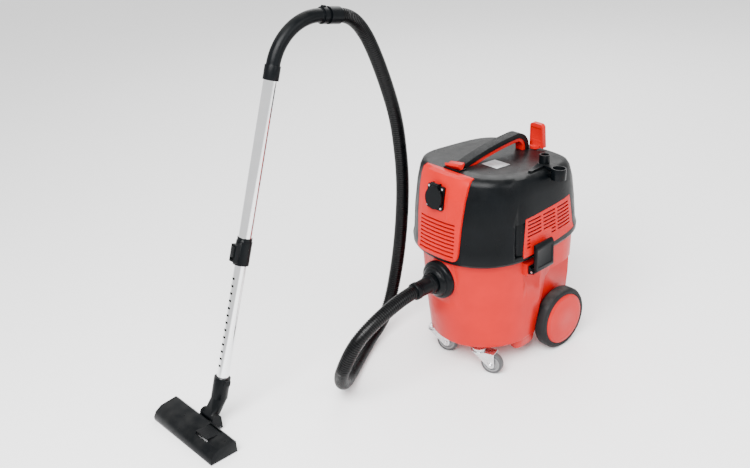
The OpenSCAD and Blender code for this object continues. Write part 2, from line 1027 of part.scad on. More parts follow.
module cable_hook() {
    color(red)
    on_hook() {
        translate([0, 0, -14]) cylinder(r = hook_pin_r, h = 24);
        translate([0, 0, hook_lift]) cylinder(r = 15, h = 6);
        difference() {
            translate([0, 18, hook_lift]) rotate([90, 0, 0])
                linear_extrude(height = 14)
                    hull() {
                        translate([-hook_w / 2, 0]) square([hook_w, 4]);
                        translate([-hook_w / 2 + 12, 58]) circle(r = 10);
                        translate([hook_w / 2 - 12, 58]) circle(r = 10);
                    }
            translate([-hook_w / 2 + 6, -2, 22]) cube([hook_w - 12, 9, 38]);
        }
    }
}

module cable_gland() {
    color(black)
    translate([0, gland_y, gland_z]) rotate([-90, 0, 0])
        difference() {
            union() {
                translate([0, 0, -14]) cylinder(r = gland_r, h = 14 + seat);
                translate([0, 0, seat]) cylinder(r = gland_r + 6, h = 6, $fn = 6);
                translate([0, 0, seat + 6]) cylinder(r = gland_r - 1, h = 12);
            }
            translate([0, 0, -20]) cylinder(r = 4, h = 60);
        }
}

// ---- Motor and filter ----------------------------------------------------------------------

floor_z = plate_z + base_t + 0.1;    // what stands on the base plate
housing_r = 80;
housing_wall = 3;
web_z = floor_z + 29;                // seat of the lower bearing
cap_z = floor_z + 117;               // seat of the upper bearing
bearing_h = 8;
bearing_r = 15;
shaft_r = 6;

module motor_housing() {
    color([0.25, 0.26, 0.28])
    difference() {
        rotate_extrude($fn = 96)
            polygon([
                [intake_r, floor_z],
                [housing_r, floor_z],
                [housing_r, cap_z + bearing_h],
                [bearing_r + 0.05, cap_z + bearing_h],
                [bearing_r + 0.05, cap_z],
                [housing_r - housing_wall, cap_z],
                [housing_r - housing_wall, web_z + bearing_h],
                [bearing_r + 0.05, web_z + bearing_h],
                [bearing_r + 0.05, web_z],
                [housing_r - housing_wall, web_z],
                [housing_r - housing_wall, floor_z + housing_wall],
                [intake_r, floor_z + housing_wall]
            ]);
        for (i = [0 : 5])
            rotate([0, 0, i * 60])
                translate([50, -14, floor_z + 7]) cube([60, 28, 14]);
    }
}

module stator() {
    color([0.7, 0.45, 0.2])
    translate([0, 0, web_z + bearing_h + 24])
        ring_solid(housing_r - housing_wall - seat, 46, 40);
}

module bearings() {
    color(steel)
    for (z = [web_z, cap_z])
        translate([0, 0, z]) ring_solid(bearing_r, shaft_r + run, bearing_h);
}

module rotor() {
    color([0.6, 0.6, 0.63])
    {
        translate([0, 0, floor_z + 4]) cylinder(r = shaft_r, h = cap_z + bearing_h - floor_z);
        translate([0, 0, floor_z + 5]) {
            cylinder(r = 66, h = 2);
            cylinder(r = 14, h = 18);
            for (i = [0 : 6])
                rotate([0, 0, i * 360 / 7]) translate([10, -1, 1]) cube([56, 2, 14]);
        }
        translate([0, 0, web_z + bearing_h + 22]) cylinder(r = 44, h = 44);
    }
}

module circuit_box() {
    color(black)
    translate([-35, -150, floor_z]) cube([70, 34, 44]);
}

cage_r = 56;
cage_wall = 3;
cage_low = plate_z - 150;
cage_floor_t = 4;
stud_r = 6;

module filter_cage() {
    color(black)
    difference() {
        union() {
            translate([0, 0, plate_z - 3.1]) cylinder(r = cage_r + 32, h = 3);
            translate([0, 0, cage_low]) ring_solid(cage_r, cage_r - cage_wall, 147);
            translate([0, 0, cage_low]) cylinder(r = cage_r - 1, h = cage_floor_t);
            translate([0, 0, cage_low - 34]) cylinder(r = stud_r, h = 35);
        }
        translate([0, 0, plate_z - 10]) cylinder(r = intake_r + 8, h = 20);
        for (i = [0 : 5])
            rotate([0, 0, i * 60 + 30])
                translate([0, -16, cage_low + 14]) cube([cage_r + 5, 32, 112]);
    }
}

cartridge_h = 138;
pleats = 40;

module filter_cartridge() {
    color([0.85, 0.83, 0.76])
    translate([0, 0, cage_low + 5])
        difference() {
            union() {
                linear_extrude(height = cartridge_h)
                    polygon([for (i = [0 : 2 * pleats - 1])
                        let (r = i % 2 == 0 ? cage_r + 27 : cage_r + 15, a = 180 * i / pleats)
                        [r * cos(a), r * sin(a)]]);
                translate([0, 0, -5]) cylinder(r = cage_r + 30, h = 5);
                translate([0, 0, cartridge_h - 4]) cylinder(r = cage_r + 30, h = 4);
            }
            translate([0, 0, 1 - 5 + 4]) cylinder(r = cage_r + 0.5, h = cartridge_h + 10);
            translate([0, 0, -10]) cylinder(r = cage_r + 0.5, h = 20);
        }
}

module filter_nut() {
    color(red)
    translate([0, 0, cage_low - 22])
        difference() {
            union() {
                translate([0, 0, 18]) cylinder(r = cage_r + 28, h = 3.5);
                cylinder(r = 26, h = 19, $fn = 8);
            }
            translate([0, 0, -5]) cylinder(r = stud_r + 0.1, h = 40);
        }
}

float_r = 46;

module float() {
    color([0.9, 0.9, 0.88])
    translate([0, 0, cage_low + cage_floor_t + seat])
        rotate_extrude()
            polygon([
                [0, 0],
                [float_r, 0],
                [float_r, 26],
                [float_r - 14, 36],
                [0, 36]
            ]);
}

// ---- Hose ----------------------------------------------------------------------------------

hose_sides = 10;
wand_x = -250;

// Points that the hose passes between the inlet cuff and the collar at the wand
hose_knots = [
    [-8, -466, 228],
    [-44, -520, 122],
    [-110, -462, 32],
    [-220, -286, 24],
    [-254, -178, 70],
    [-264, -114, 206],
    [-252, -90, 392],
    [-248, -88, 548],
    [-250, -108, 706],
    [-260, -174, 908]
];
knot_steps = 4;

function smooth(a, b, c, d, t) =
    0.5 * (2 * b + (c - a) * t + (2 * a - 5 * b + 4 * c - d) * t * t
           + (3 * b - a - 3 * c + d) * t * t * t);

// The smooth way through the points, leaving the ends along the given directions
function smooth_way(start, out, knots, in, finish) =
    let (n = len(knots),
         before = knots[0] - 1.8 * norm(knots[0] - start) * out,
         after = knots[n - 1] + 1.8 * norm(finish - knots[n - 1]) * in,
         p = concat([before, start], knots, [finish, after]))
    concat([for (i = [0 : n], k = [0 : knot_steps - 1])
        smooth(p[i], p[i + 1], p[i + 2], p[i + 3], k / knot_steps)], [finish]);

function unit(v) = v / norm(v);

function tube_ring(at, along) =
    let (t = unit(along),
         u = unit([1, 0, 0] - t[0] * t),
         v = cross(t, u))
    [for (i = [0 : hose_sides - 1])
        let (a = 360 * i / hose_sides)
        at + hose_r * (cos(a) * u + sin(a) * v)];

module hose() {
    start = [0, inlet_y - cuff_len - seat, inlet_z];
    way = smooth_way(start, [0, -1, 0], hose_knots, -bend_way, bend_point(collar_end + seat));
    last = len(way) - 1;
    color([0.16, 0.16, 0.17])
    loft([for (i = [0 : last])
        tube_ring(way[i], i == 0 ? [0, -1, 0] : i == last ? -bend_way : way[i + 1] - way[i - 1])]);
}

// ---- Wand ----------------------------------------------------------------------------------

wand_foot = [wand_x, -763, 120];     // end of the visible lower tube
bend_turn = 82.5;                    // angle of the hand tube's bend
bend_end_lean = wand_lean + bend_turn;

module along_wand(s) {
    translate(wand_foot) rotate([-wand_lean, 0, 0]) translate([0, 0, s]) children();
}

module after_bend(t) {
    along_wand(wand_len)
        translate([0, bend_r, 0]) rotate([-bend_turn, 0, 0]) translate([0, -bend_r, t]) children();
}

wand_way = [0, sin(wand_lean), cos(wand_lean)];
bend_way = [0, sin(bend_end_lean), cos(bend_end_lean)];
bend_middle = wand_foot + wand_len * wand_way + bend_r * [0, cos(wand_lean), -sin(wand_lean)];

// A point on the hand tube's line past its bend
function bend_point(t) =
    bend_middle + bend_r * [0, -cos(bend_end_lean), sin(bend_end_lean)] + t * bend_way;

hand_r = 19;
hand_bore = 15;
hand_socket = 34;                    // length of the hand tube's socket
hand_stop = 10;                      // the upper tube ends this far short of the bend
slider_zone = 22;
spigot_len = 28;
collar_end = slider_zone + spigot_len + 8;
collar_r = 22.5;
end_spigot_r = 17;

module hand_tube() {
    lap = 2;
    color(black) {
        along_wand(wand_len - hand_socket)
            difference() {
                cylinder(r = hand_r + 1.5, h = hand_socket + lap);
                translate([0, 0, -1]) cylinder(r = upper_r + 0.1, h = hand_socket + 1 - hand_stop);
                cylinder(r = hand_bore + 0.5, h = hand_socket + lap + 1);
            }
        along_wand(wand_len)
            translate([0, bend_r, 0]) rotate([90, 0, -90])
                rotate_extrude(angle = bend_turn, $fn = 160)
                    translate([bend_r, 0]) difference() {
                        circle(r = hand_r - 1);
                        circle(r = hand_bore);
                    }
        after_bend(0)
            difference() {
                union() {
                    translate([0, 0, -lap]) cylinder(r = hand_r, h = slider_zone + lap);
                    cylinder(r = end_spigot_r, h = slider_zone + spigot_len);
                }
                translate([0, 0, -lap - 1]) cylinder(r = hand_bore - 1, h = 90);
            }
    }
}

module suction_slider() {
    color(black)
    after_bend(1)
        difference() {
            union() {
                cylinder(r = hand_r + 3, h = 12);
                translate([-6, -hand_r - 6, 2]) cube([12, 8, 8]);
            }
            translate([0, 0, -1]) cylinder(r = hand_r + 0.1, h = 20);
        }
}

module hose_collar() {
    color(black)
    after_bend(0)
        difference() {
            translate([0, 0, slider_zone + seat]) cylinder(r = collar_r, h = collar_end - slider_zone - seat);
            translate([0, 0, slider_zone - 1])
                cylinder(r = end_spigot_r + run, h = spigot_len + 1 + seat);
            translate([0, 0, slider_zone]) cylinder(r = hose_bore, h = 60);
        }
}

sleeve_grip = 22;                    // length of the sleeve's guide for the lower tube
lower_inside = 157;                  // lower tube hidden in the upper tube
upper_from = lower_shown + sleeve_grip + seat;

module upper_tube() {
    color(steel)
    along_wand(upper_from)
        ring_solid(upper_r, upper_r - tube_wall, wand_len - hand_stop - seat - upper_from);
}

module telescope_sleeve() {
    color(black)
    along_wand(lower_shown)
        difference() {
            union() {
                cylinder(r = 21, h = 62);
                translate([0, 0, 62]) cylinder(r = 19.5, h = 10);
                translate([-11, -31, 8]) cube([22, 20, 46]);
            }
            translate([0, 0, -1]) cylinder(r = lower_r + run, h = sleeve_grip + 2);
            translate([0, 0, sleeve_grip]) cylinder(r = upper_r + 0.1, h = 90);
            translate([-7, -32, 13]) cube([14, 7, 37]);
        }
}

module lock_button() {
    color(black)
    along_wand(lower_shown + 21)
        translate([-7 + seat, -34, 0]) cube([14 - 2 * seat, 9 - seat, 28]);
}

notch_pitch = 20;

module lower_tube() {
    color(steel)
    along_wand(-38)
        difference() {
            ring_solid(lower_r, lower_r - tube_wall, 38 + lower_shown + lower_inside);
            for (i = [0 : 12])
                translate([-5, -lower_r - 5, 38 + 42 + i * notch_pitch]) cube([10, 10, 6]);
        }
}

// ---- Floor head ----------------------------------------------------------------------------

tilt_at = [wand_x, -812, 36];        // pivot of the floor head
tilt_pin_r = 5;
barrel_r = 13;
barrel_half = 21;
floor_mid = [wand_x, -867];
floor_front = floor_mid[1] - floor_depth / 2;
floor_rear = floor_mid[1] + floor_depth / 2;
sole_t = 3;

module across_tilt(half, r) {
    translate([tilt_at[0] - half, tilt_at[1], tilt_at[2]]) rotate([0, 90, 0]) cylinder(r = r, h = 2 * half);
}

module elbow() {
    color(black)
    difference() {
        union() {
            along_wand(-46) cylinder(r = 22, h = 58);
            hull() {
                along_wand(-50) cylinder(r = 20, h = 8, $fn = 32);
                translate([tilt_at[0] - barrel_half + 5, tilt_at[1], tilt_at[2]])
                    rotate([0, 90, 0]) cylinder(r = barrel_r, h = 2 * barrel_half - 10, $fn = 32);
            }
            across_tilt(barrel_half, barrel_r);
            along_wand(-4) translate([14, -8, 0]) cube([14, 16, 14]);
        }
        along_wand(-38 - seat) cylinder(r = lower_r + run, h = 80);
        across_tilt(60, tilt_pin_r + run);
    }
}

shell_outline = [
    [floor_front, sole_t + seat],
    [floor_front, 12],
    [floor_front + 8, 26],
    [floor_front + 27, 37],
    [floor_rear - 6, 41],
    [floor_rear, 35],
    [floor_rear, sole_t + seat]
];
shell_inner = [
    [floor_front + 3, -1],
    [floor_front + 3, 12],
    [floor_front + 10, 24],
    [floor_front + 28, 34],
    [floor_rear - 7, 38],
    [floor_rear - 3, 34],
    [floor_rear - 3, -1]
];
pedal_at = [wand_x + 62, -858, 33];
pedal_half = [27, 21];
pedal_pin_r = 2.5;
roller_at = [-806, 9];
roller_r = 9;
roller_shaft_r = 3;
ear_in = barrel_half + 0.5;
neck_ear_t = 9;

module across_floor(half, outline) {
    translate([floor_mid[0] - half, 0, 0]) rotate([90, 0, 90]) linear_extrude(height = 2 * half) polygon(outline);
}

module neck_ear() {
    difference() {
        union() {
            translate([0, tilt_at[1], tilt_at[2]]) rotate([0, 90, 0]) cylinder(r = 14, h = neck_ear_t);
            translate([0, floor_rear - 10, 6]) cube([neck_ear_t, tilt_at[1] - floor_rear + 24, 30]);
        }
        translate([-1, roller_at[0], roller_at[1]])
            rotate([0, 90, 0]) cylinder(r = roller_shaft_r + run, h = 20);
    }
}

module floor_shell() {
    half = floor_len / 2;
    color(black) {
        difference() {
            union() {
                across_floor(half, shell_outline);
                translate([floor_mid[0] + ear_in, 0, 0]) neck_ear();
                translate([floor_mid[0] - ear_in - neck_ear_t, 0, 0]) neck_ear();
            }
            across_floor(half - 3, shell_inner);
            translate([pedal_at[0] - pedal_half[0], pedal_at[1] - pedal_half[1] - 3, 20])
                cube([2 * pedal_half[0], 2 * pedal_half[1] + 6, 40]);
        }
        difference() {
            for (x = [-1, 1])
                translate([pedal_at[0] + x * (pedal_half[0] + 1.5) - 1.5, pedal_at[1] - 6, 22])
                    cube([3, 12, 16]);
            translate([pedal_at[0] - 40, pedal_at[1], pedal_at[2]])
                rotate([0, 90, 0]) cylinder(r = pedal_pin_r + run, h = 80);
        }
        across_tilt(ear_in + neck_ear_t, tilt_pin_r);
    }
}

brush_half = floor_len / 2 - 12;
brush_y = [floor_front + 8, floor_rear - 12];
brush_t = 5;

module sole_plate() {
    color([0.3, 0.3, 0.32])
    difference() {
        across_floor(floor_len / 2 - 1, [
            [floor_front + 1, 0],
            [floor_rear - 1, 0],
            [floor_rear - 1, sole_t],
            [floor_front + 1, sole_t]
        ]);
        translate([floor_mid[0] - brush_half, floor_mid[1] - 10, -1])
            cube([2 * brush_half, 20, sole_t + 2]);
        for (y = brush_y)
            translate([floor_mid[0] - brush_half - seat, y - seat, -1])
                cube([2 * (brush_half + seat), brush_t + 2 * seat, sole_t + 2]);
    }
}

module brush_strips() {
    color([0.2, 0.2, 0.2])
    for (y = brush_y)
        translate([floor_mid[0] - brush_half, y, 0.5]) cube([2 * brush_half, brush_t, 12]);
}

module pedal() {
    half = pedal_half[0] - 0.5;
    color(black)
    {
        translate([pedal_at[0] - half, pedal_at[1], pedal_at[2]])
            rotate([90, 0, 90]) linear_extrude(height = 2 * half)
                polygon([[-21, 11], [0, 8], [21, 6], [21, 3], [6, -4], [-6, -4], [-21, 6]]);
        translate([pedal_at[0] - half - 2.5, pedal_at[1], pedal_at[2]])
            rotate([0, 90, 0]) cylinder(r = pedal_pin_r, h = 2 * half + 5);
    }
}

module rollers() {
    color(grey)
    translate([floor_mid[0], roller_at[0], roller_at[1]]) rotate([0, 90, 0]) {
        translate([0, 0, -ear_in - 8]) cylinder(r = roller_shaft_r, h = 2 * (ear_in + 8));
        for (z = [-18, 8])
            translate([0, 0, z]) cylinder(r = roller_r, h = 10);
    }
}

placed() tank();
placed() tank_seal();
placed() inlet_flange();
placed() rear_axle();
placed() latch_brackets();
placed() latch_pins();
placed() caster_plates();
placed() hose();
placed() hose_collar();
placed() inlet_cuff();
placed() latch_right();
placed() latch_left();
placed() tyre_right();
placed() hub_right();
placed() wheel_cap_right();
placed() tyre_left();
placed() hub_left();
placed() wheel_cap_left();
placed() caster_fork_right();
placed() caster_wheel_right();
placed() caster_tyre_right();
placed() caster_fork_left();
placed() caster_wheel_left();
placed() caster_tyre_left();
placed() head_cover();
placed() head_base();
placed() front_panel();
placed() vent_panels();
placed() handle_grip();
placed() handle_liner();
placed() accessory_holder();
placed() label_plate();
placed() socket_body();
placed() socket_screws();
placed() switch_body();
placed() cable_gland();
placed() motor_housing();
placed() stator();
placed() bearings();
placed() circuit_box();
placed() filter_cage();
placed() filter_cartridge();
placed() filter_nut();
placed() rocker();
placed() socket_lid();
placed() cable_hook();
placed() rotor();
placed() float();
placed() hand_tube();
placed() suction_slider();
placed() upper_tube();
placed() telescope_sleeve();
placed() lock_button();
placed() lower_tube();
placed() elbow();
placed() floor_shell();
placed() sole_plate();
placed() brush_strips();
placed() pedal();
placed() rollers();
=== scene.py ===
"""Looks of a wet and dry shop vacuum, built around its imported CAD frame."""
import logging
import math
from dataclasses import dataclass, field
from enum import Enum

import bmesh
import bpy
from mathutils import Matrix, Vector


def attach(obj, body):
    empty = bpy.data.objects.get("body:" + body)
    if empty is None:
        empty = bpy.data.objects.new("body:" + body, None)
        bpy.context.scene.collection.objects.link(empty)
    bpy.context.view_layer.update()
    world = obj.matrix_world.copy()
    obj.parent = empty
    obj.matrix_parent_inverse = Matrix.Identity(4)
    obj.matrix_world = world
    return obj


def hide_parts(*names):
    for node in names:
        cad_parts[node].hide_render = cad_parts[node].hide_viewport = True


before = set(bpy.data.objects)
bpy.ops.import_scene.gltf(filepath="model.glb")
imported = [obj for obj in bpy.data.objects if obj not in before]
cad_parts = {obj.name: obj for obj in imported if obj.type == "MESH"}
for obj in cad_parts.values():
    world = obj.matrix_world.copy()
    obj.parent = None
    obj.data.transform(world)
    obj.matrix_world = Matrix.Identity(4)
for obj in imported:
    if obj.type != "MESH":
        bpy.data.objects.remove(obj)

LOG = logging.getLogger("shop_vacuum")
MM = 0.001
WELD = 2e-5
DEGENERATE = 1e-5
FLAT_ANGLE = 0.4
BEVEL_SEGMENTS = 2
BEVEL_PROFILE = 0.6
SHORTEST_EDGE = 2.2
BUMP_STRENGTH = 0.6
SMOOTH_ANGLE = 35.0
SET_AT = Vector((0.095, 0.331, 0.0))
Colour = tuple[float, float, float]


def place(x: float, y: float, z: float) -> Vector:
    """Turn a point of the machine, in millimetres, into the shared frame.

    Args:
        x: distance to the machine's right.
        y: distance to the machine's rear.
        z: height above the floor.

    Returns:
        The point in metres.
    """
    return Vector((x, y, z)) * MM + SET_AT


# ---------------------------------------------------------------------------
# Finishes
# ---------------------------------------------------------------------------


class Slot(Enum):
    """Material slots of the record."""

    RED = "red_plastic"
    BLACK = "black_plastic"
    SOFT_BLACK = "soft_black"
    TYRE = "tyre_grey"
    CASTER = "caster_grey"
    CASTER_TYRE = "caster_tyre"
    ZINC = "zinc"
    CHROME = "chrome"
    LABEL = "silver_label"
    HOSE = "hose_black"
    SEAL = "seal_rubber"
    STEEL = "steel"
    COPPER = "copper"
    PAPER = "filter_paper"
    WHITE = "white_plastic"
    GREY = "grey_plastic"
    BRISTLE = "bristle"


class Grain(Enum):
    """The kinds of fine relief a surface can have."""

    SPARK = "spark eroded"
    SMOOTH = "smooth"
    BRUSHED = "brushed"
    PEBBLE = "pebbled"
    RIBBED = "ribbed"
    PLEATED = "pleated"


@dataclass(frozen=True)
class Finish:
    """A finish with its own colour drift, gloss drift and fine relief."""

    name: str
    colour: Colour
    second: Colour
    roughness: float
    rough_drift: float = 0.06
    metallic: float = 0.0
    specular: float = 0.5
    coat: float = 0.0
    coat_roughness: float = 0.2
    grain: Grain = Grain.SPARK
    grain_size: float = 0.0006
    relief: float = 0.00004
    drift_size: float = 0.06
    dust: float = 0.0
    dust_colour: Colour = (0.5, 0.48, 0.45)

    def make(self) -> bpy.types.Material:
        """Build the node material.

        Returns:
            The finished material.
        """
        material = bpy.data.materials.new(self.name)
        material.use_nodes = True
        tree = material.node_tree
        shader = tree.nodes["Principled BSDF"]
        shader.inputs["Metallic"].default_value = self.metallic
        shader.inputs["Specular IOR Level"].default_value = self.specular
        shader.inputs["Coat Weight"].default_value = self.coat
        shader.inputs["Coat Roughness"].default_value = self.coat_roughness
        where = tree.nodes.new("ShaderNodeTexCoord").outputs["Object"]
        drift = self._noise(tree, where, 1.0 / self.drift_size, 4.0)
        colour = self._ramp(tree, drift, self.colour, self.second, 0.35, 0.7)
        if self.dust > 0.0:
            colour = self._dusted(tree, where, colour)
        tree.links.new(colour, shader.inputs["Base Color"])
        gloss = self._noise(tree, where, 2.3 / self.drift_size, 3.0)
        spread = tree.nodes.new("ShaderNodeMapRange")
        spread.inputs["From Min"].default_value = 0.3
        spread.inputs["From Max"].default_value = 0.7
        lowest = max(0.02, self.roughness - self.rough_drift)
        spread.inputs["To Min"].default_value = lowest
        spread.inputs["To Max"].default_value = self.roughness + self.rough_drift
        tree.links.new(gloss, spread.inputs["Value"])
        tree.links.new(spread.outputs["Result"], shader.inputs["Roughness"])
        height = self._height(tree, where)
        if height is not None:
            bump = tree.nodes.new("ShaderNodeBump")
            bump.inputs["Strength"].default_value = BUMP_STRENGTH
            bump.inputs["Distance"].default_value = self.relief
            tree.links.new(height, bump.inputs["Height"])
            tree.links.new(bump.outputs["Normal"], shader.inputs["Normal"])
        return material

    def _noise(self, tree, where, scale: float, detail: float):
        """Add a noise texture and return its value output."""
        noise = tree.nodes.new("ShaderNodeTexNoise")
        noise.inputs["Scale"].default_value = scale
        noise.inputs["Detail"].default_value = detail
        tree.links.new(where, noise.inputs["Vector"])
        return noise.outputs["Fac"]

    def _ramp(self, tree, value, low: Colour, high: Colour, start: float, end: float):
        """Add a colour ramp between two colours and return its output."""
        ramp = tree.nodes.new("ShaderNodeValToRGB")
        ramp.color_ramp.elements[0].position = start
        ramp.color_ramp.elements[0].color = (*low, 1.0)
        ramp.color_ramp.elements[1].position = end
        ramp.color_ramp.elements[1].color = (*high, 1.0)
        tree.links.new(value, ramp.inputs["Fac"])
        return ramp.outputs["Color"]

    def _dusted(self, tree, where, colour):
        """Lay pale dust on faces that look up and return the mixed colour."""
        normal = tree.nodes.new("ShaderNodeNewGeometry").outputs["Normal"]
        split = tree.nodes.new("ShaderNodeSeparateXYZ")
        tree.links.new(normal, split.inputs["Vector"])
        patches = self._noise(tree, where, 30.0, 5.0)
        amount = tree.nodes.new("ShaderNodeMath")
        amount.operation = "MULTIPLY"
        tree.links.new(split.outputs["Z"], amount.inputs[0])
        tree.links.new(patches, amount.inputs[1])
        share = tree.nodes.new("ShaderNodeMapRange")
        share.inputs["From Min"].default_value = 0.3
        share.inputs["From Max"].default_value = 0.75
        share.inputs["To Max"].default_value = self.dust
        tree.links.new(amount.outputs["Value"], share.inputs["Value"])
        mix = tree.nodes.new("ShaderNodeMix")
        mix.data_type = "RGBA"
        tree.links.new(share.outputs["Result"], mix.inputs["Factor"])
        tree.links.new(colour, mix.inputs["A"])
        mix.inputs["B"].default_value = (*self.dust_colour, 1.0)
        return mix.outputs["Result"]

    def _height(self, tree, where):
        """Add the fine relief and return its height output, or None for a smooth finish."""
        if self.grain is Grain.SMOOTH:
            return None
        if self.grain is Grain.PEBBLE:
            cells = tree.nodes.new("ShaderNodeTexVoronoi")
            cells.inputs["Scale"].default_value = 1.0 / self.grain_size
            tree.links.new(where, cells.inputs["Vector"])
            return cells.outputs["Distance"]
        if self.grain in (Grain.RIBBED, Grain.PLEATED):
            wave = tree.nodes.new("ShaderNodeTexWave")
            wave.bands_direction = "Y" if self.grain is Grain.RIBBED else "X"
            wave.inputs["Scale"].default_value = 0.32 / self.grain_size
            wave.inputs["Distortion"].default_value = 0.0
            tree.links.new(where, wave.inputs["Vector"])
            return wave.outputs["Fac"]
        if self.grain is Grain.BRUSHED:
            stretch = tree.nodes.new("ShaderNodeMapping")
            stretch.inputs["Scale"].default_value = (1.0, 1.0, 0.04)
            tree.links.new(where, stretch.inputs["Vector"])
            where = stretch.outputs["Vector"]
        return self._noise(tree, where, 1.0 / self.grain_size, 3.0)


class FinishRack:
    """Every finish of the set, made once and handed out by slot."""

    def __init__(self) -> None:
        """Make the finishes."""
        self._made = {slot: finish.make() for slot, finish in self._recipes().items()}

    def __getitem__(self, slot: Slot) -> bpy.types.Material:
        """Hand out the material of a slot."""
        return self._made[slot]

    def _recipes(self) -> dict[Slot, Finish]:
        """List the finish of each slot."""
        return {
            Slot.RED: Finish(
                "coral_red_plastic", (0.40, 0.0016, 0.0016), (0.45, 0.0022, 0.0020), 0.34,
                specular=0.16, grain_size=0.0009, relief=0.00003,
            ),
            Slot.BLACK: Finish(
                "black_moulded_plastic", (0.0009, 0.0014, 0.0019), (0.0016, 0.0023, 0.0030), 0.33,
                specular=0.10, grain_size=0.0008, relief=0.00005, dust=0.02,
            ),
            Slot.SOFT_BLACK: Finish(
                "textured_grip_black", (0.0016, 0.0020, 0.0024), (0.0030, 0.0035, 0.0040), 0.50,
                specular=0.14, grain=Grain.PEBBLE, grain_size=0.0028, relief=0.0007,
            ),
            Slot.TYRE: Finish(
                "wheel_rubber_grey", (0.006, 0.006, 0.0065), (0.010, 0.010, 0.0105), 0.60,
                specular=0.14, grain_size=0.0012, relief=0.0001, dust=0.10,
            ),
            Slot.CASTER: Finish(
                "caster_hub_grey", (0.16, 0.16, 0.165), (0.22, 0.22, 0.225), 0.42, relief=0.00005,
            ),
            Slot.CASTER_TYRE: Finish(
                "caster_tread_grey", (0.040, 0.040, 0.042), (0.060, 0.060, 0.062), 0.55,
                grain_size=0.001, relief=0.00008, dust=0.12,
            ),
            Slot.ZINC: Finish(
                "zinc_plate", (0.50, 0.51, 0.52), (0.66, 0.66, 0.67), 0.28, 0.08, metallic=1.0,
                grain_size=0.002, relief=0.00003, drift_size=0.012,
            ),
            Slot.CHROME: Finish(
                "polished_chrome", (0.78, 0.79, 0.80), (0.84, 0.84, 0.85), 0.07, 0.03, metallic=1.0,
                grain=Grain.SMOOTH, drift_size=0.05,
            ),
            Slot.LABEL: Finish(
                "silver_foil", (0.30, 0.30, 0.31), (0.42, 0.42, 0.43), 0.34, 0.06, metallic=0.5,
                grain=Grain.BRUSHED, grain_size=0.0009, relief=0.00002, drift_size=0.01,
            ),
            Slot.HOSE: Finish(
                "hose_vinyl", (0.0010, 0.0011, 0.0014), (0.0020, 0.0021, 0.0024), 0.30,
                specular=0.18, grain_size=0.002, relief=0.00005, drift_size=0.03,
            ),
            Slot.SEAL: Finish(
                "seal_rubber", (0.012, 0.012, 0.012), (0.02, 0.02, 0.02), 0.7, relief=0.00006,
            ),
            Slot.STEEL: Finish(
                "turned_steel", (0.50, 0.50, 0.52), (0.60, 0.60, 0.61), 0.3, metallic=1.0,
                grain=Grain.BRUSHED, grain_size=0.001, relief=0.00003,
            ),
            Slot.COPPER: Finish(
                "varnished_winding", (0.55, 0.22, 0.08), (0.70, 0.33, 0.13), 0.35, metallic=0.8,
                grain=Grain.RIBBED, grain_size=0.0014, relief=0.0003,
            ),
            Slot.PAPER: Finish(
                "filter_paper", (0.72, 0.68, 0.58), (0.80, 0.77, 0.68), 0.85, specular=0.2,
                grain_size=0.0015, relief=0.0001, dust=0.35,
            ),
            Slot.WHITE: Finish(
                "float_white", (0.74, 0.74, 0.71), (0.80, 0.80, 0.78), 0.5, relief=0.00005,
            ),
            Slot.GREY: Finish(
                "motor_housing_grey", (0.045, 0.048, 0.052), (0.065, 0.068, 0.072), 0.5,
                relief=0.00006,
            ),
            Slot.BRISTLE: Finish(
                "nylon_bristle", (0.012, 0.012, 0.012), (0.03, 0.03, 0.03), 0.6,
                grain=Grain.PLEATED, grain_size=0.0007, relief=0.0006,
            ),
        }


# ---------------------------------------------------------------------------
# Shared making of pieces
# ---------------------------------------------------------------------------


